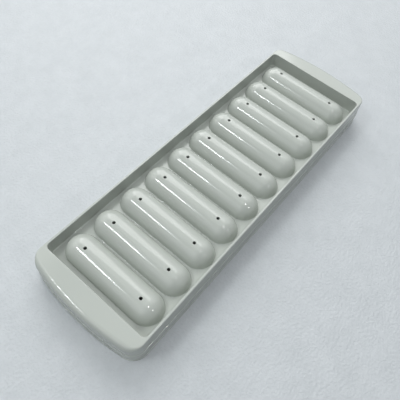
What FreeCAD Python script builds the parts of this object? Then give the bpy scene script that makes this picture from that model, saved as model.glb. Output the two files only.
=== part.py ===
"""Two-part mould for round-ended ice sticks.

The cover is a shallow well whose floor carries ten half capsules, each with two vent holes,
and whose two ends spread into flat handles with a bowed edge. The tray below holds the ten
lower halves in a flat deck inside a skirt with the same outline. A tongue under the cover
drops into a channel in the tray, inside the tray's lip, so the two halves cannot slip sideways.

Each half is one moulding. It is drawn as a frame and a row of cells that stand face to face, a
dome or a cup each with its own piece of floor, so that every hollow belongs to a simple solid.

Frame: millimetres, +X along the length, +Z up, origin on the table under the middle.
"""

import FreeCAD, Part
import math
import os
import Sketcher

DRIVING_SIZES = {
    # The ice stick and its mould
    "stick_radius": 10.0,
    "stick_length": 76.0,
    "stick_count": 10,
    "capsule_wall": 1.2,
    "capsule_gap": 1.6,
    "capsule_foot_radius": 0.6,
    "vent_diameter": 2.2,
    "vent_spacing": 47.4,
    "cell_margin": 1.0,
    # The cover's well
    "rim_rise": 1.0,
    "end_floor": 4.0,
    "side_floor": 2.55,
    "floor_thickness": 1.2,
    "well_draft": 0.5,
    "well_corner_radius": 3.0,
    "well_floor_radius": 0.8,
    "well_edge_radius": 0.5,
    "side_wall": 1.65,
    "end_wall": 1.5,
    # The cover's handles and skirt
    "handle_depth": 15.2,
    "handle_plate": 1.5,
    "handle_edge_radius": 4.2,
    "handle_hollow_radius": 1.5,
    "rim_edge_radius": 0.7,
    "bow_radius": 205.0,
    "corner_radius": 9.8,
    "cover_draft": 3.75,
    # The joint between the halves
    "fit_clearance": 0.15,
    "seam_gap": 0.25,
    "tongue_depth": 1.2,
    "tongue_thickness": 1.1,
    "lip_thickness": 1.45,
    "lip_proud": 0.35,
    "lip_edge_radius": 0.5,
    # The tray
    "deck_thickness": 1.2,
    "tray_wall": 1.4,
    "tray_draft": 2.0,
    "foot_clearance": 0.6,
    "foot_bead_reach": 0.3,
    "foot_bead_height": 1.8,
    "foot_bead_radius": 0.28,
}

# Heights above the table
MATING_Z = "(sizes.foot_clearance + sizes.capsule_wall + sizes.stick_radius)"
FLOOR_Z = f"({MATING_Z} + sizes.floor_thickness)"
RIM_Z = f"({MATING_Z} + sizes.stick_radius + sizes.capsule_wall + sizes.rim_rise)"
PLATE_UNDERSIDE_Z = f"({RIM_Z} - sizes.handle_plate)"
LIP_Z = f"({MATING_Z} - sizes.seam_gap)"
CHANNEL_FLOOR_Z = f"({MATING_Z} - sizes.tongue_depth - sizes.fit_clearance)"
CHANNEL_UNDERSIDE_Z = f"({CHANNEL_FLOOR_Z} - sizes.deck_thickness)"
DECK_UNDERSIDE_Z = f"({MATING_Z} - sizes.deck_thickness)"

# The row of capsules along X
CAPSULE_RADIUS = "(sizes.stick_radius + sizes.capsule_wall)"
CAPSULE_LENGTH = "(sizes.stick_length + 2 * sizes.capsule_wall)"
PITCH = f"(2 * {CAPSULE_RADIUS} + sizes.capsule_gap)"
FIRST_X = f"(-{PITCH} * (sizes.stick_count - 1) / 2)"
ROW_HALF_LENGTH = f"({PITCH} * sizes.stick_count / 2)"
ROW_HALF_WIDTH = f"({CAPSULE_LENGTH} / 2 + sizes.cell_margin)"

# The well and the outline of the rim around it
WELL_HALF_LENGTH = f"(-{FIRST_X} + {CAPSULE_RADIUS} + sizes.end_floor)"
WELL_HALF_WIDTH = f"({CAPSULE_LENGTH} / 2 + sizes.side_floor)"
RIM_HALF_LENGTH = f"({WELL_HALF_LENGTH} + sizes.handle_depth)"
RIM_HALF_WIDTH = f"({WELL_HALF_WIDTH} + sizes.side_wall)"

# How far each outline lies outside the outline of the rim
COVER_FOOT_GROWTH = f"(({RIM_Z} - {MATING_Z}) * tan(sizes.cover_draft * 1 deg))"
LIP_GROWTH = f"({COVER_FOOT_GROWTH} + sizes.lip_proud)"
CHANNEL_OUTER_GROWTH = f"({LIP_GROWTH} - sizes.lip_thickness)"
TONGUE_OUTER_GROWTH = f"({CHANNEL_OUTER_GROWTH} - sizes.fit_clearance)"
TONGUE_INNER_GROWTH = f"({TONGUE_OUTER_GROWTH} - sizes.tongue_thickness)"
CHANNEL_INNER_GROWTH = f"({TONGUE_INNER_GROWTH} - sizes.fit_clearance)"
DECK_HOLLOW_GROWTH = f"({CHANNEL_INNER_GROWTH} - sizes.deck_thickness)"
SKIRT_FOOT_GROWTH = f"({LIP_GROWTH} + {LIP_Z} * tan(sizes.tray_draft * 1 deg))"
SKIRT_HOLLOW_GROWTH = f"({SKIRT_FOOT_GROWTH} - sizes.tray_wall)"
FOOT_BEAD_GROWTH = f"({SKIRT_FOOT_GROWTH} + sizes.foot_bead_reach)"

# Edges are found by their place to within this
TOLERANCE = 1e-4

doc = FreeCAD.newDocument("ice_stick_mould")
sheet = doc.addObject("Spreadsheet::Sheet", "sizes")
vector = FreeCAD.Vector
constraint = Sketcher.Constraint
START, END, CENTRE = range(1, 4)
X_AXIS, Y_AXIS = -1, -2


def fill_sheet():
    for row, (alias, size) in enumerate(DRIVING_SIZES.items(), start=1):
        sheet.set(f"A{row}", alias)
        sheet.set(f"B{row}", str(size))
        sheet.setAlias(f"B{row}", alias)
    doc.recompute()


def number(expression):
    """The present value of an expression on the sheet's sizes."""
    return float(sheet.evalExpression(expression))


def origin_part(body, role):
    return next(item for item in body.Origin.OriginFeatures if item.Role == role)


def level_sketch(body, name, height):
    """A sketch parallel to the table, at the height given by an expression."""
    sketch = body.newObject("Sketcher::SketchObject", name)
    sketch.AttachmentSupport = (origin_part(body, "XY_Plane"), [""])
    sketch.MapMode = "FlatFace"
    sketch.setExpression("AttachmentOffset.Base.z", height)
    return sketch


def dimension(sketch, name, kind, places, expression):
    """Adds a named dimension and binds it to the sheet."""
    index = sketch.addConstraint(constraint(kind, *places, number(expression)))
    sketch.renameConstraint(index, name)
    sketch.setExpression(f"Constraints.{name}", expression)


def arc(centre_x, centre_y, radius, start, end):
    circle = Part.Circle(vector(centre_x, centre_y, 0), vector(0, 0, 1), radius)
    return Part.ArcOfCircle(circle, start, end)


def line(x1, y1, x2, y2):
    return Part.LineSegment(vector(x1, y1, 0), vector(x2, y2, 0))


def join_smoothly(sketch, first, count):
    """Makes a closed ring of tangent curves out of count curves, from number first on."""
    for step in range(count):
        here = first + step
        following = first + (step + 1) % count
        sketch.addConstraint(constraint("Tangent", here, END, following, START))


def add_bowed_outline(sketch, growth):
    """Straight long sides, bowed ends and round corners, growth outside the rim's outline."""
    half_length = f"{RIM_HALF_LENGTH} + {growth}"
    half_width = f"{RIM_HALF_WIDTH} + {growth}"
    bow = f"sizes.bow_radius + {growth}"
    corner = f"sizes.corner_radius + {growth}"
    bow_depth = f"{bow} - ({half_length})"

    end_x = -number(bow_depth)
    side_y = number(half_width)
    bow_r = number(bow)
    corner_r = number(corner)
    corner_y = side_y - corner_r
    corner_x = end_x + math.sqrt((bow_r - corner_r) ** 2 - corner_y**2)
    turn = math.atan2(corner_y, corner_x - end_x)
    quarter = math.pi / 2
    half = math.pi

    first = sketch.GeometryCount
    right, back, left, front = range(first, first + 8, 2)
    corners = range(first + 1, first + 9, 2)
    sketch.addGeometry(arc(end_x, 0, bow_r, -turn, turn))
    sketch.addGeometry(arc(corner_x, corner_y, corner_r, turn, quarter))
    sketch.addGeometry(line(corner_x, side_y, -corner_x, side_y))
    sketch.addGeometry(arc(-corner_x, corner_y, corner_r, quarter, half - turn))
    sketch.addGeometry(arc(-end_x, 0, bow_r, half - turn, half + turn))
    sketch.addGeometry(arc(-corner_x, -corner_y, corner_r, half + turn, half + quarter))
    sketch.addGeometry(line(-corner_x, -side_y, corner_x, -side_y))
    sketch.addGeometry(arc(corner_x, -corner_y, corner_r, half + quarter, 2 * half - turn))
    join_smoothly(sketch, first, 8)
    sketch.addConstraint(constraint("PointOnObject", right, CENTRE, X_AXIS))
    sketch.addConstraint(constraint("PointOnObject", left, CENTRE, X_AXIS))
    sketch.addConstraint(constraint("Symmetric", back, START, back, END, Y_AXIS))
    sketch.addConstraint(constraint("Symmetric", back, START, front, END, X_AXIS))
    sketch.addConstraint(constraint("Equal", right, left))
    for other in corners[1:]:
        sketch.addConstraint(constraint("Equal", corners[0], other))
    dimension(sketch, f"corner_{first}", "Radius", (corners[0],), corner)
    dimension(sketch, f"bow_{first}", "Radius", (right,), bow)
    dimension(sketch, f"width_{first}", "DistanceY", (X_AXIS, START, back, START), half_width)
    dimension(sketch, f"bow_centre_{first}", "DistanceX", (right, CENTRE, X_AXIS, START), bow_depth)


def add_rounded_rectangle(sketch, half_length, half_width, corner):
    """A rectangle about the origin with round corners."""
    x = number(half_length)
    y = number(half_width)
    r = number(corner)
    quarter = math.pi / 2
    sketch.addGeometry(line(x - r, y, -x + r, y))
    sketch.addGeometry(arc(-x + r, y - r, r, quarter, 2 * quarter))
    sketch.addGeometry(line(-x, y - r, -x, -y + r))
    sketch.addGeometry(arc(-x + r, -y + r, r, 2 * quarter, 3 * quarter))
    sketch.addGeometry(line(-x + r, -y, x - r, -y))
    sketch.addGeometry(arc(x - r, -y + r, r, 3 * quarter, 4 * quarter))
    sketch.addGeometry(line(x, -y + r, x, y - r))
    sketch.addGeometry(arc(x - r, y - r, r, 0, quarter))
    back, left, front, right = range(0, 8, 2)
    back_left, front_left, _, back_right = range(1, 9, 2)
    join_smoothly(sketch, back, 8)
    sketch.addConstraint(constraint("Symmetric", back, START, back, END, Y_AXIS))
    sketch.addConstraint(constraint("Symmetric", back, START, front, END, X_AXIS))
    sketch.addConstraint(constraint("Vertical", left))
    sketch.addConstraint(constraint("Vertical", right))
    sketch.addConstraint(constraint("Equal", back_left, front_left))
    sketch.addConstraint(constraint("Equal", back_left, back_right))
    dimension(sketch, "corner", "Radius", (back_left,), corner)
    dimension(sketch, "half_width", "DistanceY", (X_AXIS, START, back, START), half_width)
    dimension(sketch, "half_length", "DistanceX", (X_AXIS, START, right, START), half_length)


def add_rectangle(sketch, length, width):
    """A sharp rectangle across the X axis, which starts where the row of cells does."""
    x = -number(ROW_HALF_LENGTH)
    far_x = x + number(length)
    y = number(width) / 2
    back, left, front, right = range(4)
    sketch.addGeometry(line(far_x, y, x, y))
    sketch.addGeometry(line(x, y, x, -y))
    sketch.addGeometry(line(x, -y, far_x, -y))
    sketch.addGeometry(line(far_x, -y, far_x, y))
    for here, following in ((back, left), (left, front), (front, right), (right, back)):
        sketch.addConstraint(constraint("Coincident", here, END, following, START))
    sketch.addConstraint(constraint("Horizontal", back))
    sketch.addConstraint(constraint("Vertical", right))
    sketch.addConstraint(constraint("Symmetric", left, START, left, END, X_AXIS))
    dimension(sketch, "length", "DistanceX", (back, END, back, START), length)
    dimension(sketch, "width", "DistanceY", (left, END, left, START), width)
    dimension(sketch, "start", "DistanceX", (left, START, X_AXIS, START), ROW_HALF_LENGTH)


def add_half_capsule(sketch, radius, length):
    """Half of a capsule's outline, closed along the axis of the first capsule."""
    x = number(FIRST_X)
    r = number(radius)
    y = number(length) / 2 - r
    quarter = math.pi / 2
    sketch.addGeometry(line(x, y + r, x, -y - r))
    sketch.addGeometry(arc(x, -y, r, -quarter, 0))
    sketch.addGeometry(line(x + r, -y, x + r, y))
    sketch.addGeometry(arc(x, y, r, 0, quarter))
    sketch.addConstraint(constraint("Coincident", 0, END, 1, START))
    sketch.addConstraint(constraint("Tangent", 1, END, 2, START))
    sketch.addConstraint(constraint("Tangent", 2, END, 3, START))
    sketch.addConstraint(constraint("Coincident", 3, END, 0, START))
    sketch.addConstraint(constraint("PointOnObject", 1, CENTRE, 0))
    sketch.addConstraint(constraint("PointOnObject", 3, CENTRE, 0))
    sketch.addConstraint(constraint("Symmetric", 0, START, 0, END, X_AXIS))
    sketch.addConstraint(constraint("Equal", 1, 3))
    dimension(sketch, "radius", "Radius", (1,), radius)
    dimension(sketch, "length", "DistanceY", (0, END, 0, START), length)
    dimension(sketch, "axis_place", "DistanceX", (0, START, X_AXIS, START), f"-{FIRST_X}")


def add_vents(sketch):
    """The two vent holes on the crest of the first capsule."""
    x = number(FIRST_X)
    y = number("sizes.vent_spacing / 2")
    r = number("sizes.vent_diameter / 2")
    for centre_y in (y, -y):
        sketch.addGeometry(Part.Circle(vector(x, centre_y, 0), vector(0, 0, 1), r))
    sketch.addConstraint(constraint("Symmetric", 0, CENTRE, 1, CENTRE, X_AXIS))
    sketch.addConstraint(constraint("Equal", 0, 1))
    dimension(sketch, "diameter", "Diameter", (0,), "sizes.vent_diameter")
    dimension(sketch, "spacing", "DistanceY", (1, CENTRE, 0, CENTRE), "sizes.vent_spacing")
    dimension(sketch, "axis_place", "DistanceX", (0, CENTRE, X_AXIS, START), f"-{FIRST_X}")


def extrude(body, kind, name, sketch, length, upward, draft=None):
    """A pad or pocket of a sketch, up or down, whose section grows by the draft if one is given."""
    feature = body.newObject(f"PartDesign::{kind}", name)
    feature.Profile = sketch
    feature.setExpression("Length", length)
    # A pad rises from its sketch by default, and a pocket goes down from it.
    feature.Reversed = upward != (kind == "Pad")
    if draft:
        feature.setExpression("TaperAngle", draft)
    doc.recompute()
    return feature


def revolve(body, kind, name, radius, length, upward):
    """Adds or cuts half a capsule about the first capsule's axis, above or below it."""
    profile = level_sketch(body, f"{name}_profile", MATING_Z)
    add_half_capsule(profile, radius, length)
    feature = body.newObject(f"PartDesign::{kind}", name)
    feature.Profile = profile
    feature.ReferenceAxis = (profile, ["Edge1"])
    feature.Angle = 180
    feature.Reversed = not upward
    doc.recompute()


def row_of(cell, name):
    """The first cell and its copies side by side, each a solid of its own."""
    places = []
    for index in range(DRIVING_SIZES["stick_count"]):
        place = doc.addObject("App::Link", f"{cell.Label}_{index + 1}")
        place.LinkedObject = cell
        place.setExpression("Placement.Base.x", f"{index} * {PITCH}")
        places.append(place)
    row = doc.addObject("Part::Compound", name)
    row.Links = places
    doc.recompute()
    return row


def edges_where(shape, chosen):
    """Names of the edges whose bounding box and middle point satisfy a test."""
    names = []
    for index, edge in enumerate(shape.Edges, start=1):
        middle = edge.valueAt((edge.FirstParameter + edge.LastParameter) / 2)
        if chosen(edge.BoundBox, middle):
            names.append(f"Edge{index}")
    return names


def lies_at(box, height):
    return abs(box.ZMin - height) < TOLERANCE and abs(box.ZMax - height) < TOLERANCE


def round_edges(body, name, radius, chosen):
    """Rounds the chosen edges of the body's last feature."""
    base = body.Tip
    names = edges_where(base.Shape, chosen)
    if not names:
        raise RuntimeError(f"{name}: no edge to round")
    feature = body.newObject("PartDesign::Fillet", name)
    feature.Base = (base, names)
    feature.setExpression("Radius", radius)
    doc.recompute()
    return feature


def rounded_cover_blank():
    """The cover's outer form: a drafted block whose top edge is rounded.

    The rounding is small along the sides and swells through the corners to the handles' edge.
    """
    outline = doc.addObject("Sketcher::SketchObject", "rim_outline")
    outline.setExpression("Placement.Base.z", RIM_Z)
    add_bowed_outline(outline, "0")
    blank = doc.addObject("Part::Extrusion", "cover_blank")
    blank.Base = outline
    blank.DirMode = "Custom"
    blank.Dir = vector(0, 0, -1)
    blank.Solid = True
    blank.setExpression("LengthFwd", f"{RIM_Z} - {MATING_Z}")
    blank.setExpression("TaperAngle", "sizes.cover_draft")
    doc.recompute()

    rim_z = number(RIM_Z)
    side_y = number(RIM_HALF_WIDTH)
    small = number("sizes.rim_edge_radius")
    large = number("sizes.handle_edge_radius")
    rounded = doc.addObject("Part::Fillet", "cover_rounded")
    rounded.Base = blank
    radii = []
    for index, edge in enumerate(blank.Shape.Edges, start=1):
        if lies_at(edge.BoundBox, rim_z):
            ends = [edge.valueAt(edge.FirstParameter), edge.valueAt(edge.LastParameter)]
            start, end = (small if abs(point.y) > side_y - TOLERANCE else large for point in ends)
            radii.append((index, start, end))
    rounded.Edges = radii
    doc.recompute()
    return rounded


def cut_room_for_the_row(body, height, thickness):
    """Takes out the floor between the frame's border and the row of cells."""
    room = level_sketch(body, "room_for_the_row", height)
    add_rectangle(room, f"2 * {ROW_HALF_LENGTH}", f"2 * {ROW_HALF_WIDTH}")
    extrude(body, "Pocket", "row_room", room, thickness, False)


def cell_floor(body, height, thickness, upward):
    """A cell's own piece of floor, with flat sides that meet the next cell and the frame."""
    floor = level_sketch(body, "cell_outline", height)
    add_rectangle(floor, PITCH, f"2 * {ROW_HALF_WIDTH}")
    extrude(body, "Pad", "cell_floor", floor, thickness, upward)


def cover_frame():
    """The upper half around its domes: handles, skirt, well and tongue."""
    blank = rounded_cover_blank()
    body = doc.addObject("PartDesign::Body", "cover_frame")
    body.BaseFeature = blank
    doc.recompute()

    # Hollow from below, which leaves the plate and the skirt, then the block that holds the well
    inside = level_sketch(body, "cover_inside", MATING_Z)
    add_bowed_outline(inside, TONGUE_INNER_GROWTH)
    extrude(body, "Pocket", "cover_hollow", inside, f"{PLATE_UNDERSIDE_Z} - {MATING_Z}", True)
    plate_z = number(PLATE_UNDERSIDE_Z)
    round_edges(
        body,
        "hollow_edge",
        "sizes.handle_hollow_radius",
        lambda box, middle: lies_at(box, plate_z),
    )
    block = level_sketch(body, "well_block_outline", MATING_Z)
    add_rounded_rectangle(
        block,
        f"{WELL_HALF_LENGTH} + sizes.end_wall",
        f"{RIM_HALF_WIDTH} - sizes.side_wall / 3",
        "sizes.well_corner_radius",
    )
    extrude(body, "Pad", "well_block", block, f"{RIM_Z} - {MATING_Z} - sizes.handle_plate / 2", True)

    well = level_sketch(body, "well_outline", RIM_Z)
    add_rounded_rectangle(well, WELL_HALF_LENGTH, WELL_HALF_WIDTH, "sizes.well_corner_radius")
    extrude(body, "Pocket", "well", well, f"{RIM_Z} - {FLOOR_Z}", False, "-sizes.well_draft")

    # The tongue goes on down from the skirt's inner face
    tongue = level_sketch(body, "tongue_outline", MATING_Z)
    add_bowed_outline(tongue, TONGUE_OUTER_GROWTH)
    add_bowed_outline(tongue, TONGUE_INNER_GROWTH)
    extrude(body, "Pad", "tongue", tongue, "sizes.tongue_depth", False)

    cut_room_for_the_row(body, FLOOR_Z, "sizes.floor_thickness")
    floor_z = number(FLOOR_Z)
    room_reach = number(ROW_HALF_LENGTH) + TOLERANCE
    room_width = number(ROW_HALF_WIDTH) + TOLERANCE

    def around_the_floor(box, middle):
        outside = abs(middle.x) > room_reach or abs(middle.y) > room_width
        return lies_at(box, floor_z) and outside

    round_edges(body, "floor_edge", "sizes.well_floor_radius", around_the_floor)

    rim_z = number(RIM_Z)
    well_reach = number(WELL_HALF_LENGTH) + TOLERANCE
    well_width = number(WELL_HALF_WIDTH) + TOLERANCE

    def around_the_well(box, middle):
        inside_well = abs(middle.x) < well_reach and abs(middle.y) < well_width
        return lies_at(box, rim_z) and inside_well

    round_edges(body, "well_edge", "sizes.well_edge_radius", around_the_well)
    return body


def dome_cell():
    """A dome of the cover, hollow from below, with its foot and its two vents."""
    body = doc.addObject("PartDesign::Body", "dome_cell")
    cell_floor(body, MATING_Z, "sizes.floor_thickness", True)
    revolve(body, "Revolution", "dome", CAPSULE_RADIUS, CAPSULE_LENGTH, True)
    floor_z = number(FLOOR_Z)
    first_x = number(FIRST_X)
    dome_reach = number(CAPSULE_RADIUS)
    dome_width = number(f"{CAPSULE_LENGTH} / 2")

    def around_the_dome(box, middle):
        inside_x = abs(middle.x - first_x) < dome_reach
        return lies_at(box, floor_z) and inside_x and abs(middle.y) < dome_width

    round_edges(body, "dome_foot", "sizes.capsule_foot_radius", around_the_dome)
    revolve(body, "Groove", "upper_cavity", "sizes.stick_radius", "sizes.stick_length", True)
    vents = level_sketch(body, "vents_outline", MATING_Z)
    add_vents(vents)
    extrude(body, "Pocket", "vents", vents, f"{CAPSULE_RADIUS} + sizes.rim_rise", True)
    return body


def tray_frame():
    """The lower half around its cups: skirt with its lip and foot, channel and deck border."""
    body = doc.addObject("PartDesign::Body", "tray_frame")

    outline = level_sketch(body, "lip_outline", LIP_Z)
    add_bowed_outline(outline, LIP_GROWTH)
    extrude(body, "Pad", "tray_blank", outline, LIP_Z, False, "sizes.tray_draft")
    lip_z = number(LIP_Z)
    round_edges(
        body,
        "lip_edge",
        "sizes.lip_edge_radius",
        lambda box, middle: lies_at(box, lip_z),
    )

    # The foot bead runs round the skirt where it meets the table
    bead = level_sketch(body, "foot_bead_outline", "0")
    add_bowed_outline(bead, FOOT_BEAD_GROWTH)
    extrude(body, "Pad", "foot_bead", bead, "sizes.foot_bead_height", True)
    bead_z = number("sizes.foot_bead_height")
    bead_reach = number(f"{RIM_HALF_WIDTH} + {FOOT_BEAD_GROWTH}")

    def bead_edge(box, middle):
        at_edge = lies_at(box, bead_z) or lies_at(box, 0)
        long_side = abs(abs(middle.y) - bead_reach) < TOLERANCE
        return at_edge and long_side

    round_edges(body, "foot_bead_edge", "sizes.foot_bead_radius", bead_edge)

    # The channel is cut inside the lip, and the deck stands up to the cover's underside
    channel = level_sketch(body, "channel_outline", LIP_Z)
    add_bowed_outline(channel, CHANNEL_OUTER_GROWTH)
    extrude(body, "Pocket", "channel", channel, f"{LIP_Z} - {CHANNEL_FLOOR_Z}", False)
    deck = level_sketch(body, "deck_outline", MATING_Z)
    add_bowed_outline(deck, CHANNEL_INNER_GROWTH)
    extrude(body, "Pad", "deck", deck, f"{MATING_Z} - {CHANNEL_FLOOR_Z}", False)

    # Hollow from below in two steps: up to the channel's floor, then up to the deck
    skirt = level_sketch(body, "skirt_inside", "0")
    add_bowed_outline(skirt, SKIRT_HOLLOW_GROWTH)
    skirt_draft = "-sizes.tray_draft"
    extrude(body, "Pocket", "skirt_hollow", skirt, CHANNEL_UNDERSIDE_Z, True, skirt_draft)
    under_deck = level_sketch(body, "under_deck", "0")
    add_bowed_outline(under_deck, DECK_HOLLOW_GROWTH)
    extrude(body, "Pocket", "deck_hollow", under_deck, DECK_UNDERSIDE_Z, True)
    cut_room_for_the_row(body, MATING_Z, "sizes.deck_thickness")
    return body


def cup_cell():
    """A cup of the tray, which hangs from its piece of the deck."""
    body = doc.addObject("PartDesign::Body", "cup_cell")
    cell_floor(body, MATING_Z, "sizes.deck_thickness", False)
    revolve(body, "Revolution", "cup", CAPSULE_RADIUS, CAPSULE_LENGTH, False)
    revolve(body, "Groove", "lower_cavity", "sizes.stick_radius", "sizes.stick_length", False)
    return body


def check_document():
    for item in doc.Objects:
        if "Invalid" in item.State or "Error" in item.State:
            raise RuntimeError(f"{item.Label} failed: {item.State}")


def export(sub_part, solid_count):
    shape = sub_part.Shape
    if shape.isNull() or not shape.isValid() or len(shape.Solids) != solid_count:
        raise RuntimeError(f"{sub_part.Label} is not {solid_count} sound solids")
    shape.exportStep(os.path.join("parts", f"{sub_part.Label}.step"))
    box = shape.BoundBox
    print(f"{sub_part.Label}: {box.XLength:.2f} x {box.YLength:.2f} x {box.ZLength:.2f} mm, "
          f"{shape.Volume / 1000:.2f} cm3, {len(shape.Solids)} solids")


fill_sheet()
frames = [cover_frame(), tray_frame()]
rows = [row_of(dome_cell(), "cover_domes"), row_of(cup_cell(), "tray_cups")]
check_document()
os.makedirs("parts", exist_ok=True)
for frame in frames:
    export(frame, 1)
for row in rows:
    export(row, DRIVING_SIZES["stick_count"])
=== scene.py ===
"""Looks of a two-part mould for ice sticks.

The cover and the tray are meshed finely over the fixed CAD frame, in metres, and stand on a
plain stage in front of the photograph's camera.
"""

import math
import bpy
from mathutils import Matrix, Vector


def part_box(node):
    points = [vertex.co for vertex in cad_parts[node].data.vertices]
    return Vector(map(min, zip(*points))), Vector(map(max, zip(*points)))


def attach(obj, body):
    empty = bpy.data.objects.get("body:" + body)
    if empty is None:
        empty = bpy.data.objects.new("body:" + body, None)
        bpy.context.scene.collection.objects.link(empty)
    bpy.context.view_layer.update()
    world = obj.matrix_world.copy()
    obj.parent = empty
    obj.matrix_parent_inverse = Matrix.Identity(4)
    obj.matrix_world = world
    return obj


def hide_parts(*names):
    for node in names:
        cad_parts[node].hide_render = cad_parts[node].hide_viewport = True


bl_info = {
    "name": "Ice stick mould",
    "version": (1, 0, 0),
    "blender": (4, 5, 0),
    "location": "3D View > Sidebar > Ice mould",
    "description": "Builds the cover and the tray of a two-part mould for ice sticks",
    "category": "Add Mesh",
}

import bmesh
import bpy
from mathutils import Matrix, Vector

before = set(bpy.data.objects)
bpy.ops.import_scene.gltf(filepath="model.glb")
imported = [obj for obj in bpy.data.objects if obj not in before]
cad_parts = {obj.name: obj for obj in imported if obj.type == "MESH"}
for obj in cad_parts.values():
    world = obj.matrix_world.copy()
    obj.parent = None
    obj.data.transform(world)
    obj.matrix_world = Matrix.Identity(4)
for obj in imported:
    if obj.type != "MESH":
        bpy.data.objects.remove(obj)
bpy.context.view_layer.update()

MM = 0.001
MERGE_DISTANCE = 1e-6
QUARTER = math.pi / 2
HALF_TURN = math.pi

DOME_COUNT = 10

# From the frame: the row of domes, the plane where the halves meet, and the rim
DOMES_LOW, DOMES_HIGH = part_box("cover_domes")
PITCH = (DOMES_HIGH.x - DOMES_LOW.x) / DOME_COUNT
MATING_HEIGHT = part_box("tray_frame")[1].z
RIM_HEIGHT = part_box("cover_frame")[1].z

# Sockets of a Mix node that blends colours
MIX_SHARE, MIX_FIRST, MIX_SECOND = 0, 6, 7
MIX_COLOUR = 2


def length(name, description, millimetres):
    """A size in the sidebar."""
    return bpy.props.FloatProperty(
        name=name, description=description, default=millimetres * MM, min=0, unit="LENGTH", precision=5
    )


def angle(name, description, degrees):
    """An angle in the sidebar."""
    return bpy.props.FloatProperty(
        name=name, description=description, default=math.radians(degrees), subtype="ANGLE"
    )


def linear(hex_colour):
    """An sRGB hex colour as linear red, green and blue."""
    channels = [int(hex_colour[place : place + 2], 16) / 255 for place in (1, 3, 5)]
    return [c / 12.92 if c <= 0.04045 else ((c + 0.055) / 1.055) ** 2.4 for c in channels]


def colour(name, description, hex_colour):
    """A colour in the sidebar."""
    return bpy.props.FloatVectorProperty(
        name=name,
        description=description,
        default=linear(hex_colour),
        min=0,
        max=1,
        size=3,
        subtype="COLOR",
    )


class StickSizes(bpy.types.PropertyGroup):
    """The row of domes and cups that moulds the sticks."""

    stick_radius: length("Stick radius", "Radius of a stick of ice", 10)
    stick_length: length("Stick length", "Length of a stick of ice", 76)
    wall: length("Wall", "Thickness of the domes and cups", 1.2)
    floor: length("Floor", "Thickness of the well's floor and of the deck", 1.2)
    foot_radius: length("Foot radius", "Rounding where a dome meets the floor", 0.6)
    cup_foot_radius: length("Cup root radius", "Rounding where a cup meets the deck", 0.4)
    lip_radius: length("Cavity lip radius", "Rounding of a cavity's lip", 0.12)
    vent_radius: length("Vent radius", "Radius of a vent hole", 1.1)
    vent_edge: length("Vent edge", "Rounding of a vent hole's mouth", 0.15)
    vent_place: length("Vent place", "Distance of a vent from the middle of its dome", 23.7)
    vent_frame: length("Vent frame", "Half the side of the mesh square around a vent", 2.4)
    count: bpy.props.IntProperty(
        name="Count", description="Number of domes", default=DOME_COUNT, min=1
    )
    pitch: length("Pitch", "Distance from dome to dome", PITCH / MM)


class CoverSizes(bpy.types.PropertyGroup):
    """The cover around its domes."""

    half_length: length("Half length", "Half the length at the rim", 138.4)
    half_width: length("Half width", "Half the width at the rim", 43.4)
    bow_radius: length("Bow radius", "Radius of the handles' bowed edge", 205)
    corner_radius: length("Corner radius", "Radius of the outline's corners", 9.8)
    draft: angle("Draft", "Lean of the skirt", 3.75)
    handle_edge: length("Handle edge", "Rounding of the handles' edge", 4.2)
    rim_edge: length("Rim edge", "Rounding of the rim's outer edge", 0.7)
    well_half_length: length("Well half length", "Half the length of the well", 123.2)
    well_half_width: length("Well half width", "Half the width of the well", 41.75)
    well_corner: length("Well corner", "Radius of the well's corners", 3)
    well_edge: length("Well edge", "Rounding of the well's upper edge", 0.5)
    well_foot: length("Well foot", "Rounding where the wall meets the floor", 0.8)
    well_draft: angle("Well draft", "Lean of the well's wall", 0.5)
    plate: length("Plate", "Thickness of the handles' plate", 1.5)
    hollow_edge: length("Hollow edge", "Rounding under the handles' plate", 1.5)
    end_wall: length("End wall", "Thickness of the well's end walls", 1.5)
    skirt_edge: length("Skirt edge", "Rounding of the skirt's lower edge", 0.12)


class TraySizes(bpy.types.PropertyGroup):
    """The tray around its cups. Reaches are counted from the rim's outline."""

    lip_reach: length("Lip reach", "How far the lip stands outside the rim's outline", 1.15)
    lip_top: length("Lip top", "Height of the lip above the table", 11.55)
    lip_edge: length("Lip edge", "Rounding of the lip's outer edge", 0.5)
    lip_wall: length("Lip wall", "Thickness of the lip", 1.45)
    channel_width: length("Channel width", "Width of the channel inside the lip", 1.4)
    channel_floor: length("Channel floor", "Height of the channel's floor", 10.45)
    inner_edge: length("Inner edge", "Rounding of the channel's and the deck's edges", 0.12)
    draft: angle("Draft", "Lean of the skirt", 2)
    wall: length("Wall", "Thickness of the skirt", 1.4)
    foot_reach: length("Foot reach", "How far the foot bead stands out", 0.3)
    foot_height: length("Foot height", "Height of the foot bead", 1.8)
    foot_edge: length("Foot edge", "Rounding of the foot bead", 0.28)
    tongue_depth: length("Tongue depth", "How far the tongue goes down", 1.2)
    tongue_width: length("Tongue width", "Thickness of the tongue", 1.1)
    clearance: length("Clearance", "Play of the tongue in its channel", 0.15)


class FinishColours(bpy.types.PropertyGroup):
    """Colours of the plastic and of the stage."""

    plastic: colour("Plastic", "Pale warm grey plastic", "#B1B6AF")
    shade: colour("Flow tint", "Slightly deeper tint where the melt flowed together", "#ACB1AA")
    floor: colour("Floor", "Pale cool grey table", "#C6CACC")
    cloud: colour("Cloud", "Slightly deeper tint in the table's print", "#ACB1B3")


GROUPS = {
    "mould_sticks": StickSizes,
    "mould_cover": CoverSizes,
    "mould_tray": TraySizes,
    "mould_colours": FinishColours,
}


# Outlines, as (x, y, x direction, y direction) points that run anticlockwise


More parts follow.
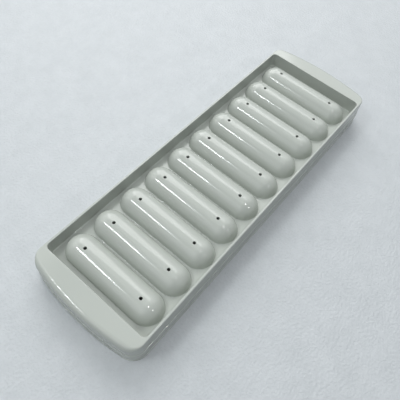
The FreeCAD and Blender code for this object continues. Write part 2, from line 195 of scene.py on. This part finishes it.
def arc_points(centre_x, centre_y, radius, start, end, count):
    """Points of an arc with the direction outwards, without the last one."""
    points = []
    for step in range(count):
        turn = start + (end - start) * step / count
        away_x, away_y = math.cos(turn), math.sin(turn)
        points.append((centre_x + radius * away_x, centre_y + radius * away_y, away_x, away_y))
    return points


def bowed_outline(cover, block_x):
    """The rim's outline, and for each point how far it belongs to a handle, from 0 to 1.

    A point stands on each long side at block_x, where the hollow under a handle ends.
    """
    bow_steps, corner_steps, side_steps = 36, 18, 12
    bow_x = cover.half_length - cover.bow_radius
    corner_y = cover.half_width - cover.corner_radius
    reach = cover.bow_radius - cover.corner_radius
    corner_x = bow_x + math.sqrt(reach**2 - corner_y**2)
    turn = math.atan2(corner_y, corner_x - bow_x)
    side_places = [corner_x]
    for step in range(side_steps + 1):
        side_places.append(block_x * (1 - 2 * step / side_steps))
    points, shares = [], []
    for sign in (1, -1):
        facing = 0 if sign > 0 else HALF_TURN
        points += arc_points(
            sign * bow_x, 0, cover.bow_radius, facing - turn, facing + turn, bow_steps
        )
        shares += [1] * bow_steps
        points += arc_points(
            sign * corner_x,
            sign * corner_y,
            cover.corner_radius,
            facing + turn,
            facing + QUARTER,
            corner_steps,
        )
        shares += [1 - step / corner_steps for step in range(corner_steps)]
        points += [(sign * x, sign * cover.half_width, 0, sign) for x in side_places]
        shares += [0] * len(side_places)
        points += arc_points(
            -sign * corner_x,
            sign * corner_y,
            cover.corner_radius,
            facing + QUARTER,
            facing + HALF_TURN - turn,
            corner_steps,
        )
        shares += [step / corner_steps for step in range(corner_steps)]
    eased = [share * share * (3 - 2 * share) for share in shares]
    return points, eased


def rounded_rectangle(half_length, half_width, corner):
    """A rectangle's outline with round corners, each with both of its end points."""
    corner_steps = 12
    points = []
    for quadrant, (sign_x, sign_y) in enumerate(((1, 1), (-1, 1), (-1, -1), (1, -1))):
        centre_x = sign_x * (half_length - corner)
        centre_y = sign_y * (half_width - corner)
        start = quadrant * QUARTER
        end = start + QUARTER
        points += arc_points(centre_x, centre_y, corner, start, end, corner_steps)
        points += arc_points(centre_x, centre_y, corner, end, end, 1)
    return points


def spine(half_length, side_places, end_steps):
    """A dome's axis, gone round once, with the direction outwards at each point."""
    right = [(0, y, 1, 0) for y in side_places]
    far = arc_points(0, half_length, 0, 0, HALF_TURN, end_steps)[1:]
    left = [(0, y, -1, 0) for y in reversed(side_places)]
    near = arc_points(0, -half_length, 0, HALF_TURN, 2 * HALF_TURN, end_steps)[1:]
    return right + far + left + near


# Meshing


def ring(mesh, outline, growth, height):
    """Vertices of an outline grown outwards, at a height. Either may differ from point to point."""
    growths = growth if isinstance(growth, list) else [growth] * len(outline)
    heights = height if isinstance(height, list) else [height] * len(outline)
    return [
        mesh.verts.new((x + g * away_x, y + g * away_y, z))
        for (x, y, away_x, away_y), g, z in zip(outline, growths, heights)
    ]


def skin(mesh, first, second, closed=True):
    """Quads between two rings with as many vertices."""
    count = len(first)
    for here in range(count if closed else count - 1):
        following = (here + 1) % count
        mesh.faces.new((first[here], first[following], second[following], second[here]))


def skin_all(mesh, rings, closed=True):
    """Quads between each ring and the next."""
    for first, second in zip(rings, rings[1:]):
        skin(mesh, first, second, closed)


def loop_edges(mesh, vertices):
    """The edges of a closed loop, made where they are missing."""
    pairs = zip(vertices, vertices[1:] + vertices[:1])
    return [mesh.edges.get(pair) or mesh.edges.new(pair) for pair in pairs]


def fill(mesh, *loops):
    """Flat faces between an outer loop and the loops inside it."""
    edges = [edge for loop in loops for edge in loop_edges(mesh, loop)]
    bmesh.ops.triangle_fill(mesh, use_beauty=True, edges=edges)


def rounding(centre_growth, centre_height, radius, start, end, steps):
    """Growth and height along an arc of a profile."""
    places = []
    for step in range(steps + 1):
        turn = start + (end - start) * step / steps
        places.append(
            (centre_growth + radius * math.cos(turn), centre_height + radius * math.sin(turn))
        )
    return places


def profile_rings(mesh, outline, profile):
    """A ring for each growth and height of a profile."""
    return [ring(mesh, outline, growth, height) for growth, height in profile]


def finished_object(name, data):
    """An object for a mesh, a lamp or a camera, linked to the scene."""
    made = bpy.data.objects.new(name, data)
    bpy.context.scene.collection.objects.link(made)
    return made


def mesh_object(name, mesh):
    """Turns the work mesh into an object."""
    mesh_data = bpy.data.meshes.new(name)
    mesh.to_mesh(mesh_data)
    mesh.free()
    return finished_object(name, mesh_data)


# The cells of the two rows


def cell_side_places(sticks, straight, with_vents):
    """Where the vertices stand along a dome's straight sides."""
    inner = sticks.vent_place - sticks.vent_frame
    outer = sticks.vent_place + sticks.vent_frame
    frame_steps = 8 if with_vents else 2
    between_steps, end_steps = 8, 2
    positive = [inner + (outer - inner) * step / frame_steps for step in range(frame_steps)]
    positive += [outer + (straight - outer) * step / end_steps for step in range(end_steps + 1)]
    between = [inner * (2 * step / between_steps - 1) for step in range(1, between_steps)]
    return [-place for place in reversed(positive)] + between + positive


def cell_border(outline, straight, half_length, half_width):
    """The edge of a cell's floor, with a point for each point of the dome's outline."""
    corner_turn = math.atan2(half_width - straight, half_length)
    near_enough = math.radians(3)
    border = []
    for _, y, away_x, away_y in outline:
        turn = math.atan2(abs(away_y), abs(away_x))
        run = half_length if away_x else 0
        rise = half_width - straight
        if turn < corner_turn - near_enough:
            rise = half_length * math.tan(turn)
        elif turn > corner_turn + near_enough:
            run = rise / math.tan(turn)
        rise = math.copysign(rise, away_y) if away_y else 0
        border.append((math.copysign(run, away_x), y + rise, 0, 0))
    return border


def foot_profile(radius, plane, rounding_radius, steps):
    """A small rounding from a plane to a dome. Returns it and where the dome starts."""
    height = plane + rounding_radius
    turn = math.asin(height / (radius + rounding_radius))
    reach = (radius + rounding_radius) * math.cos(turn)
    places = rounding(reach, height, rounding_radius, 3 * QUARTER, HALF_TURN + turn, steps)
    return places[:-1], turn


def dome_profile(sticks, radius, start):
    """Half widths and heights of a dome's rings, from its foot up to the crest."""
    flank_steps, crest_steps = 15, 4
    frame = sticks.vent_frame
    places = rounding(0, 0, radius, start, math.acos(frame / radius), flank_steps)[:-1]
    for step in range(crest_steps + 1):
        half_width = frame * (1 - step / crest_steps)
        places.append((half_width, math.sqrt(radius**2 - half_width**2)))
    return places


def open_vent(mesh, sticks, radius, place, mouth):
    """Replaces the dome's faces around a vent by rings down to a round hole. Returns the last."""
    frame = sticks.vent_frame
    inside = []
    for face in mesh.faces:
        x, y, z = face.calc_center_median()
        on_this_skin = abs(math.hypot(x, z) - radius) < sticks.wall / 4
        if on_this_skin and abs(x) < frame and abs(y - place) < frame and z > 0:
            inside.append(face)
    uses = {}
    for face in inside:
        for edge in face.edges:
            uses[edge] = uses.get(edge, 0) + 1
    border = {vertex for edge, count in uses.items() if count == 1 for vertex in edge.verts}
    lost = {vertex for edge in uses for vertex in edge.verts} - border
    bmesh.ops.delete(mesh, geom=inside, context="FACES_ONLY")
    bmesh.ops.delete(mesh, geom=list(lost), context="VERTS")

    around = sorted(border, key=lambda vertex: math.atan2(vertex.co.y - place, vertex.co.x))
    turns = [math.atan2(vertex.co.y - place, vertex.co.x) for vertex in around]
    hole = sticks.vent_radius + mouth
    rings = [around]
    ring_shares = (0.3, 0.6, 0.85, 1)
    for share in ring_shares:
        made = []
        for vertex, turn in zip(around, turns):
            x = vertex.co.x + (hole * math.cos(turn) - vertex.co.x) * share
            y = vertex.co.y + (place + hole * math.sin(turn) - vertex.co.y) * share
            made.append(mesh.verts.new((x, y, math.sqrt(radius**2 - x**2))))
        rings.append(made)
    edge_steps = 3 if mouth else 0
    surface = rings[-1]
    for step in range(1, edge_steps + 1):
        bend = QUARTER * step / edge_steps
        reach = hole - mouth * math.sin(bend)
        drop = mouth * (1 - math.cos(bend))
        rings.append(
            [
                mesh.verts.new(
                    (reach * math.cos(turn), place + reach * math.sin(turn), vertex.co.z - drop)
                )
                for vertex, turn in zip(surface, turns)
            ]
        )
    skin_all(mesh, rings)
    return rings[-1]


def make_cell(name, sticks, upward, with_vents):
    """A dome or a cup about the middle of the mating plane, with its own piece of floor.

    Its outer and inner skins end in two open borders, which meet the next cell and the frame.
    Returns its object and the border.
    """
    end_steps, foot_steps, lip_steps = 24, 5, 3
    straight = sticks.stick_length / 2 - sticks.stick_radius
    outline = spine(straight, cell_side_places(sticks, straight, with_vents), end_steps)
    border = cell_border(outline, straight, sticks.pitch / 2, DOMES_HIGH.y)
    outer_radius = sticks.stick_radius + sticks.wall
    foot_radius = sticks.foot_radius if upward else sticks.cup_foot_radius

    mesh = bmesh.new()
    foot, start = foot_profile(outer_radius, sticks.floor, foot_radius, foot_steps)
    rings = [ring(mesh, border, 0, sticks.floor)]
    rings += profile_rings(mesh, outline, foot + dome_profile(sticks, outer_radius, start))
    skin_all(mesh, rings)
    lip, start = foot_profile(sticks.stick_radius, 0, sticks.lip_radius, lip_steps)
    rings = [ring(mesh, border, 0, 0)]
    rings += profile_rings(mesh, outline, lip + dome_profile(sticks, sticks.stick_radius, start))
    skin_all(mesh, rings)
    bmesh.ops.remove_doubles(mesh, verts=mesh.verts, dist=MERGE_DISTANCE)

    vent_places = (sticks.vent_place, -sticks.vent_place) if with_vents else ()
    for place in vent_places:
        mouth = open_vent(mesh, sticks, outer_radius, place, sticks.vent_edge)
        throat = open_vent(mesh, sticks, sticks.stick_radius, place, 0)
        skin(mesh, mouth, throat)
    if not upward:
        for vertex in mesh.verts:
            vertex.co.z = -vertex.co.z
    return mesh_object(name, mesh), border


def row_border(sticks, border):
    """The outer edge of the whole row of cells, anticlockwise."""
    half_length = sticks.pitch * sticks.count / 2
    points = {}
    for index in range(sticks.count):
        shift = sticks.pitch * (index + 0.5) - half_length
        for x, y, _, _ in border:
            at_end = abs(abs(x + shift) - half_length) < MERGE_DISTANCE
            if at_end or abs(abs(y) - DOMES_HIGH.y) < MERGE_DISTANCE:
                points[round((x + shift) / MERGE_DISTANCE), round(y / MERGE_DISTANCE)] = (
                    x + shift,
                    y,
                    0,
                    0,
                )
    return sorted(points.values(), key=lambda point: math.atan2(point[1], point[0]))


# The frames around the rows


def edge_rounding(lean, top_growth, top, radius, steps):
    """Rounds the upper edge of a leaning wall, from the wall's face up to the flat top."""
    centre = top_growth - radius * (1 - math.sin(lean)) / math.cos(lean)
    return rounding(centre, top - radius, radius, lean, QUARTER, steps)


def handle_hollow(mesh, cover, foot_ring, outline, inner):
    """Skins the room under a handle's plate, up from the open foot ring."""
    edge_steps = 6
    radius = cover.hollow_edge
    centre_height = RIM_HEIGHT - cover.plate - radius
    places = rounding(inner - radius, centre_height, radius, 0, QUARTER, edge_steps)
    rings = [foot_ring] + profile_rings(mesh, outline, places)
    skin_all(mesh, rings, closed=False)
    fill(mesh, rings[-1])
    first = [vertices[0] for vertices in rings]
    last = [vertices[-1] for vertices in reversed(rings)]
    mesh.faces.new(first + last)


def cover_shell(cover, tray, sticks, border):
    """The cover's skin around the row of domes: tongue, skirt, handles, rim, well, hollows."""
    block_x = cover.well_half_length + cover.end_wall
    outline, shares = bowed_outline(cover, block_x)
    lean = cover.draft
    foot_reach = (RIM_HEIGHT - MATING_HEIGHT) * math.tan(lean)
    tongue_outer = tray.lip_reach - tray.lip_wall - tray.clearance
    tongue_inner = tongue_outer - tray.tongue_width
    tongue_foot = MATING_HEIGHT - tray.tongue_depth
    skirt_steps, rim_steps, well_edge_steps, well_foot_steps = 4, 10, 5, 6
    mesh = bmesh.new()

    edge = cover.skirt_edge
    foot_centre = foot_reach - (edge + edge * math.sin(lean)) / math.cos(lean)
    skirt_foot = rounding(foot_centre, MATING_HEIGHT + edge, edge, -QUARTER, lean, skirt_steps)
    rings = [
        ring(mesh, outline, tongue_inner, MATING_HEIGHT),
        ring(mesh, outline, tongue_inner, tongue_foot),
        ring(mesh, outline, tongue_outer, tongue_foot),
        ring(mesh, outline, tongue_outer, MATING_HEIGHT),
    ]
    inside_foot = rings[0]
    rings += profile_rings(mesh, outline, skirt_foot)
    radii = [cover.rim_edge + (cover.handle_edge - cover.rim_edge) * share for share in shares]
    edge_profiles = [edge_rounding(lean, 0, RIM_HEIGHT, radius, rim_steps) for radius in radii]
    for level in zip(*edge_profiles):
        growths = [growth for growth, _ in level]
        heights = [height for _, height in level]
        rings.append(ring(mesh, outline, growths, heights))
    skin_all(mesh, rings)
    rim = rings[-1]

    lean = cover.well_draft
    well = rounded_rectangle(cover.well_half_length, cover.well_half_width, cover.well_corner)
    radius = cover.well_edge
    centre = radius * (1 - math.sin(lean)) / math.cos(lean)
    profile = rounding(
        centre, RIM_HEIGHT - radius, radius, QUARTER, HALF_TURN - lean, well_edge_steps
    )
    radius = cover.well_foot
    floor_height = MATING_HEIGHT + sticks.floor
    depth = RIM_HEIGHT - floor_height - radius
    centre = -(radius + depth * math.sin(lean)) / math.cos(lean)
    profile += rounding(centre, floor_height + radius, radius, -lean, -QUARTER, well_foot_steps)
    rings = profile_rings(mesh, well, profile)
    skin_all(mesh, rings)
    fill(mesh, rim, rings[0])

    row = row_border(sticks, border)
    fill(mesh, rings[-1], ring(mesh, row, 0, floor_height))

    at_block = [
        index
        for index, (x, y, _, away_y) in enumerate(outline)
        if abs(abs(x) - block_x) < MERGE_DISTANCE and abs(away_y) == 1
    ]
    right_back, left_back, left_front, right_front = at_block
    count = len(outline)
    for start, end in ((right_front, right_back + count), (left_back, left_front)):
        span = [index % count for index in range(start, end + 1)]
        handle_hollow(
            mesh,
            cover,
            [inside_foot[index] for index in span],
            [outline[index] for index in span],
            tongue_inner,
        )
    sides = inside_foot[right_back : left_back + 1] + inside_foot[left_front : right_front + 1]
    fill(mesh, sides, ring(mesh, row, 0, MATING_HEIGHT))
    return mesh_object("cover_shell", mesh)


def tray_shell(cover, tray, sticks, border):
    """The tray's skin around the row of cups: skirt, foot bead, lip, channel and deck."""
    outline, _ = bowed_outline(cover, cover.well_half_length + cover.end_wall)
    lean = tray.draft
    lip_inner = tray.lip_reach - tray.lip_wall
    deck_reach = lip_inner - tray.channel_width
    under_channel = tray.channel_floor - sticks.floor
    skirt_foot = tray.lip_reach + tray.lip_top * math.tan(lean)
    skirt_inside = skirt_foot - tray.wall
    bead = skirt_foot + tray.foot_reach
    bead_edge = tray.foot_edge
    bead_top = tray.foot_height
    edge = tray.inner_edge
    edge_steps, bead_steps, lip_steps = 3, 5, 7
    mesh = bmesh.new()

    profile = [
        (deck_reach - sticks.floor, MATING_HEIGHT - sticks.floor),
        (deck_reach - sticks.floor, under_channel),
        (skirt_inside - under_channel * math.tan(lean), under_channel),
    ]
    profile += rounding(skirt_inside + edge, edge, edge, HALF_TURN, 3 * QUARTER, edge_steps)
    profile += rounding(bead - bead_edge, bead_edge, bead_edge, -QUARTER, 0, bead_steps)
    profile += rounding(
        bead - bead_edge, bead_top - bead_edge, bead_edge, 0, QUARTER, bead_steps
    )
    profile.append((skirt_foot - bead_top * math.tan(lean), bead_top))
    profile += edge_rounding(lean, tray.lip_reach, tray.lip_top, tray.lip_edge, lip_steps)
    profile += rounding(
        lip_inner + edge, tray.lip_top - edge, edge, QUARTER, HALF_TURN, edge_steps
    )
    profile += [(lip_inner, tray.channel_floor), (deck_reach, tray.channel_floor)]
    profile += rounding(deck_reach - edge, MATING_HEIGHT - edge, edge, 0, QUARTER, edge_steps)
    rings = profile_rings(mesh, outline, profile)
    skin_all(mesh, rings)

    row = row_border(sticks, border)
    fill(mesh, rings[-1], ring(mesh, row, 0, MATING_HEIGHT))
    fill(mesh, rings[0], ring(mesh, row, 0, MATING_HEIGHT - sticks.floor))
    return mesh_object("tray_shell", mesh)


# Joining a frame and its row


def add_node(tree, kind, values=None, links=None, **settings):
    """Adds a node with its settings, its inputs' values and its links."""
    made = tree.nodes.new(kind)
    for name, value in settings.items():
        setattr(made, name, value)
    for socket, value in (values or {}).items():
        made.inputs[socket].default_value = value
    for socket, source in (links or {}).items():
        tree.links.new(source, made.inputs[socket])
    return made


def row_tree():
    """A tree that sets copies of a cell in a row and welds them to the geometry given."""
    tree = bpy.data.node_groups.new("row_of_cells", "GeometryNodeTree")
    sockets = (
        ("Geometry", "NodeSocketGeometry"),
        ("Cell", "NodeSocketObject"),
        ("Count", "NodeSocketInt"),
        ("Pitch", "NodeSocketFloat"),
        ("Height", "NodeSocketFloat"),
        ("Material", "NodeSocketMaterial"),
    )
    for name, kind in sockets:
        tree.interface.new_socket(name, in_out="INPUT", socket_type=kind)
    tree.interface.new_socket("Geometry", in_out="OUTPUT", socket_type="NodeSocketGeometry")
    given = tree.nodes.new("NodeGroupInput").outputs
    gaps = add_node(tree, "ShaderNodeMath", {1: 1}, {0: given["Count"]}, operation="SUBTRACT")
    run = add_node(
        tree, "ShaderNodeMath", None, {0: gaps.outputs[0], 1: given["Pitch"]}, operation="MULTIPLY"
    )
    # The row starts half its length before the middle
    first = add_node(
        tree, "ShaderNodeMath", {1: -0.5}, {0: run.outputs[0]}, operation="MULTIPLY"
    )
    start = add_node(
        tree, "ShaderNodeCombineXYZ", None, {"X": first.outputs[0], "Z": given["Height"]}
    )
    step = add_node(tree, "ShaderNodeCombineXYZ", None, {"X": given["Pitch"]})
    places = add_node(
        tree,
        "GeometryNodeMeshLine",
        None,
        {
            "Count": given["Count"],
            "Start Location": start.outputs[0],
            "Offset": step.outputs[0],
        },
    )
    cell = add_node(tree, "GeometryNodeObjectInfo", None, {"Object": given["Cell"]})
    row = add_node(
        tree,
        "GeometryNodeInstanceOnPoints",
        None,
        {"Points": places.outputs[0], "Instance": cell.outputs["Geometry"]},
    )
    joined = add_node(tree, "GeometryNodeJoinGeometry", None, {0: row.outputs[0]})
    tree.links.new(given["Geometry"], joined.inputs[0])
    real = add_node(tree, "GeometryNodeRealizeInstances", None, {0: joined.outputs[0]})
    welded = add_node(
        tree, "GeometryNodeMergeByDistance", {"Distance": MERGE_DISTANCE}, {0: real.outputs[0]}
    )
    painted = add_node(
        tree,
        "GeometryNodeSetMaterial",
        None,
        {"Geometry": welded.outputs[0], "Material": given["Material"]},
    )
    add_node(tree, "NodeGroupOutput", None, {0: painted.outputs[0]})
    return tree


def weld_row(shell, cell, sticks, material, name):
    """Joins a shell and the row of its cells into one closed, smooth moulding."""
    modifier = shell.modifiers.new("row", "NODES")
    modifier.node_group = row_tree()
    inputs = {
        "Cell": cell,
        "Count": sticks.count,
        "Pitch": sticks.pitch,
        "Height": MATING_HEIGHT,
        "Material": material,
    }
    for item in modifier.node_group.interface.items_tree:
        if item.in_out == "INPUT" and item.name in inputs:
            modifier[item.identifier] = inputs[item.name]
    evaluated = shell.evaluated_get(bpy.context.evaluated_depsgraph_get())
    mesh_data = bpy.data.meshes.new_from_object(evaluated)
    mesh_data.name = name
    for used in (shell, cell):
        bpy.data.objects.remove(used)

    mesh = bmesh.new()
    mesh.from_mesh(mesh_data)
    bmesh.ops.recalc_face_normals(mesh, faces=mesh.faces)
    open_edges = [edge for edge in mesh.edges if not edge.is_manifold]
    if open_edges:
        raise RuntimeError(f"{name} has {len(open_edges)} open edges")
    mesh.to_mesh(mesh_data)
    mesh.free()
    mesh_data.shade_smooth()
    crease, strongest = math.radians(35), 100
    mesh_data.set_sharp_from_angle(angle=crease)
    moulding = finished_object(name, mesh_data)
    # Large flat faces decide the shading at their edges, so they look flat
    even = moulding.modifiers.new("even_shading", "WEIGHTED_NORMAL")
    even.keep_sharp = True
    even.weight = strongest
    return moulding


# Finishes


def add_noise(tree, place, size, detail, roughness=0.5):
    """Noise whose forms are about as large as the size."""
    values = {"Scale": 1 / size, "Detail": detail, "Roughness": roughness}
    return add_node(tree, "ShaderNodeTexNoise", values, {"Vector": place}).outputs[0]


def add_blend(tree, share, first, second):
    """A colour between two, by a share from 0 to 1."""
    values = {MIX_FIRST: [*first, 1], MIX_SECOND: [*second, 1]}
    links = {MIX_SHARE: share}
    return add_node(tree, "ShaderNodeMix", values, links, data_type="RGBA").outputs[MIX_COLOUR]


def add_bump(tree, height, strength, distance, links=None):
    """A direction of the surface, tilted by a height."""
    values = {"Strength": strength, "Distance": distance}
    return add_node(tree, "ShaderNodeBump", values, {"Height": height, **(links or {})}).outputs[0]


def new_material(name):
    """A material, its tree, its surface node and the place on the object."""
    made = bpy.data.materials.new(name)
    made.use_nodes = True
    tree = made.node_tree
    place = add_node(tree, "ShaderNodeTexCoord").outputs["Object"]
    return made, tree, tree.nodes["Principled BSDF"], place


def plastic_material(colours):
    """Polypropylene, injection moulded in a polished tool: glossy, with faint flow and sink."""
    made, tree, surface, place = new_material("moulded_polypropylene")
    surface.inputs["IOR"].default_value = 1.49

    # The tint wanders by a hair over some 45 mm, as the melt mixed
    flow = add_noise(tree, place, 45 * MM, 2)
    tint = add_blend(tree, flow, colours.plastic, colours.shade)
    tree.links.new(tint, surface.inputs["Base Color"])

    # The polish is a little uneven over some 12 mm
    polish = add_noise(tree, place, 12 * MM, 3)
    range_of_gloss = {"To Min": 0.1, "To Max": 0.15}
    gloss = add_node(tree, "ShaderNodeMapRange", range_of_gloss, {"Value": polish})
    tree.links.new(gloss.outputs[0], surface.inputs["Roughness"])

    # Sink over the thick places bends reflections, and a fine grain of 0.6 mm breaks them up
    sink = add_noise(tree, place, 14 * MM, 1)
    grain = add_noise(tree, place, 0.6 * MM, 2)
    waves = add_bump(tree, sink, 0.12, 0.4 * MM)
    skin_grain = add_bump(tree, grain, 0.05, 0.02 * MM, {"Normal": waves})
    tree.links.new(skin_grain, surface.inputs["Normal"])
    return made


def table_material(colours):
    """Matt laminate, pressed with a fine grain: even and pale, with a faint cloudiness."""
    made, tree, surface, place = new_material("pressed_laminate")
    surface.inputs["Roughness"].default_value = 0.6

    # The print is cloudy by a hair over some 20 mm, down to specks of 1 mm
    clouds = add_noise(tree, place, 20 * MM, 5, 0.85)
    tint = add_blend(tree, clouds, colours.floor, colours.cloud)
    tree.links.new(tint, surface.inputs["Base Color"])

    # A leathery grain of 1.8 mm is pressed into it
    grain = add_noise(tree, place, 1.8 * MM, 2)
    pressed = add_bump(tree, grain, 1, 0.5 * MM)
    tree.links.new(pressed, surface.inputs["Normal"])
    return made


# The stage


def add_lamp(name, place, size, power, tint=(1, 1, 1)):
    """A soft rectangular lamp that faces the object. Metres and watts."""
    data = bpy.data.lights.new(name, "AREA")
    data.shape = "RECTANGLE"
    data.size, data.size_y = size
    data.energy = power
    data.color = tint
    lamp = finished_object(name, data)
    lamp.location = place
    lamp.rotation_euler = Vector(place).to_track_quat("Z", "Y").to_euler()


def add_camera():
    """The photograph's camera, from a fit to the vent holes, the rim and the foot line.

    The focal length, the picture's width and the shift of its optical centre are in pixels.
    """
    sensor_width = 36
    focal_length, picture_width, centre_shift = 381.3, 400, 20
    place = Vector((-145.3, -78.3, 242.6)) * MM
    yaw, pitch, roll = 0.5582, -1.0774, 0.1643
    ahead = Vector(
        (math.cos(yaw) * math.cos(pitch), math.sin(yaw) * math.cos(pitch), math.sin(pitch))
    )
    right = ahead.cross(Vector((0, 0, 1))).normalized()
    up = right.cross(ahead)
    turned_right = right * math.cos(roll) + up * math.sin(roll)
    turned_up = up * math.cos(roll) - right * math.sin(roll)
    data = bpy.data.cameras.new("photo_camera")
    data.sensor_width = sensor_width
    data.lens = sensor_width * focal_length / picture_width
    data.shift_y = centre_shift / picture_width
    data.clip_start = 10 * MM
    camera = finished_object("photo_camera", data)
    axes = Matrix((turned_right, turned_up, -ahead)).transposed()
    camera.matrix_world = Matrix.Translation(place) @ axes.to_4x4()
    bpy.context.scene.camera = camera


def light_world():
    """A dim cool room, brighter overhead than at the horizon."""
    strength, top_of_horizon = 0.26, 0.2
    horizon, overhead, pale = linear("#6E757E"), linear("#E6F0FF"), linear("#C9CED3")
    world = bpy.data.worlds.new("soft_room")
    world.use_nodes = True
    tree = world.node_tree
    background = tree.nodes["Background"]
    background.inputs["Strength"].default_value = strength
    way = add_node(tree, "ShaderNodeTexCoord").outputs["Generated"]
    axes = add_node(tree, "ShaderNodeSeparateXYZ", None, {0: way})
    limits = {"From Min": top_of_horizon}
    rise = add_node(tree, "ShaderNodeMapRange", limits, {"Value": axes.outputs["Z"]})
    room = add_blend(tree, rise.outputs[0], horizon, overhead)
    tree.links.new(room, background.inputs["Color"])

    # The camera and reflections see a pale backdrop instead
    backdrop = add_node(tree, "ShaderNodeBackground", {"Color": [*pale, 1]})
    path = add_node(tree, "ShaderNodeLightPath").outputs
    seen = add_node(
        tree,
        "ShaderNodeMath",
        None,
        {0: path["Is Camera Ray"], 1: path["Is Glossy Ray"]},
        operation="MAXIMUM",
    )
    both = add_node(
        tree,
        "ShaderNodeMixShader",
        None,
        {0: seen.outputs[0], 1: background.outputs[0], 2: backdrop.outputs[0]},
    )
    tree.links.new(both.outputs[0], tree.nodes["World Output"].inputs["Surface"])
    bpy.context.scene.world = world


class MOULD_OT_cover(bpy.types.Operator):
    """Makes the cover: handles, well and vented domes in one moulding"""

    bl_idname = "mould.cover"
    bl_label = "Cover"

    def execute(self, context):
        scene = context.scene
        sticks = scene.mould_sticks
        cell, border = make_cell("dome_cell", sticks, upward=True, with_vents=True)
        shell = cover_shell(scene.mould_cover, scene.mould_tray, sticks, border)
        moulding = weld_row(shell, cell, sticks, plastic_of(scene), "cover_moulding")
        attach(moulding, "cover")
        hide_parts("cover_frame", "cover_domes")
        return {"FINISHED"}


class MOULD_OT_tray(bpy.types.Operator):
    """Makes the tray: skirt, lip, deck and cups in one moulding"""

    bl_idname = "mould.tray"
    bl_label = "Tray"

    def execute(self, context):
        scene = context.scene
        sticks = scene.mould_sticks
        cell, border = make_cell("cup_cell", sticks, upward=False, with_vents=False)
        shell = tray_shell(scene.mould_cover, scene.mould_tray, sticks, border)
        moulding = weld_row(shell, cell, sticks, plastic_of(scene), "tray_moulding")
        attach(moulding, "tray")
        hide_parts("tray_frame", "tray_cups")
        return {"FINISHED"}


class MOULD_OT_stage(bpy.types.Operator):
    """Makes the table, the lamps and the camera"""

    bl_idname = "mould.stage"
    bl_label = "Stage"

    def execute(self, context):
        table_reach = 3
        mesh = bmesh.new()
        bmesh.ops.create_grid(mesh, x_segments=1, y_segments=1, size=table_reach)
        table = mesh_object("table", mesh)
        table.data.materials.append(table_material(context.scene.mould_colours))

        # The tube's reflection is the streak along each dome
        cool = (0.96, 1, 1)
        add_lamp("tube", (-0.55, 0.43, 0.925), (0.24, 0.03), 2.5, cool)

        # Small lamps, whose reflections are the glints on the domes' near ends
        add_lamp("front_spot", (0.12, -1.08, 0.98), (0.03, 0.03), 1.9)
        add_lamp("ceiling_spot", (0, -0.36, 1.42), (0.03, 0.03), 2.9)

        # Windows and a ceiling, which light the form and leave soft shadows on the near side
        add_lamp("back_window", (0, 0.9, 0.8), (1.4, 0.9), 4.6)
        add_lamp("corner_window", (0.65, 0.65, 0.8), (0.9, 0.9), 8.2)
        add_lamp("left_window", (-0.9, 0, 0.8), (0.8, 0.8), 1.8)
        add_lamp("right_window", (0.9, 0, 0.8), (0.8, 0.8), 2.2)
        add_lamp("ceiling", (0.25, 0.1, 1.2), (0.9, 0.9), 1.4)
        light_world()
        add_camera()
        return {"FINISHED"}


class MOULD_PT_sizes(bpy.types.Panel):
    """Sizes and colours of the mould, and what makes its pieces"""

    bl_idname = "MOULD_PT_sizes"
    bl_label = "Ice stick mould"
    bl_space_type = "VIEW_3D"
    bl_region_type = "UI"
    bl_category = "Ice mould"

    def draw(self, context):
        for group in GROUPS:
            settings = getattr(context.scene, group)
            for name in settings.bl_rna.properties.keys():
                if name not in ("rna_type", "name"):
                    self.layout.prop(settings, name)
        for operator in OPERATORS:
            self.layout.operator(operator.bl_idname)


OPERATORS = (MOULD_OT_cover, MOULD_OT_tray, MOULD_OT_stage)
CLASSES = (*GROUPS.values(), *OPERATORS, MOULD_PT_sizes)


def plastic_of(scene):
    """The one plastic that both mouldings are made of."""
    return bpy.data.materials.get("moulded_polypropylene") or plastic_material(
        scene.mould_colours
    )


def register():
    """Registers the classes and hangs the sizes and colours on the scene."""
    for made in CLASSES:
        bpy.utils.register_class(made)
    for name, group in GROUPS.items():
        setattr(bpy.types.Scene, name, bpy.props.PointerProperty(type=group))


def unregister():
    """Undoes what register does."""
    for name in GROUPS:
        delattr(bpy.types.Scene, name)
    for made in reversed(CLASSES):
        bpy.utils.unregister_class(made)


def main():
    """Builds the mouldings and the stage."""
    register()
    # The frame's own nodes wear the plastic of the mouldings that replace them
    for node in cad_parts.values():
        node.data.materials.clear()
        node.data.materials.append(plastic_of(bpy.context.scene))
    bpy.ops.mould.cover()
    bpy.ops.mould.tray()
    bpy.ops.mould.stage()
    scene = bpy.context.scene
    scene.view_settings.view_transform = "Standard"


if __name__ == "__main__":
    main()
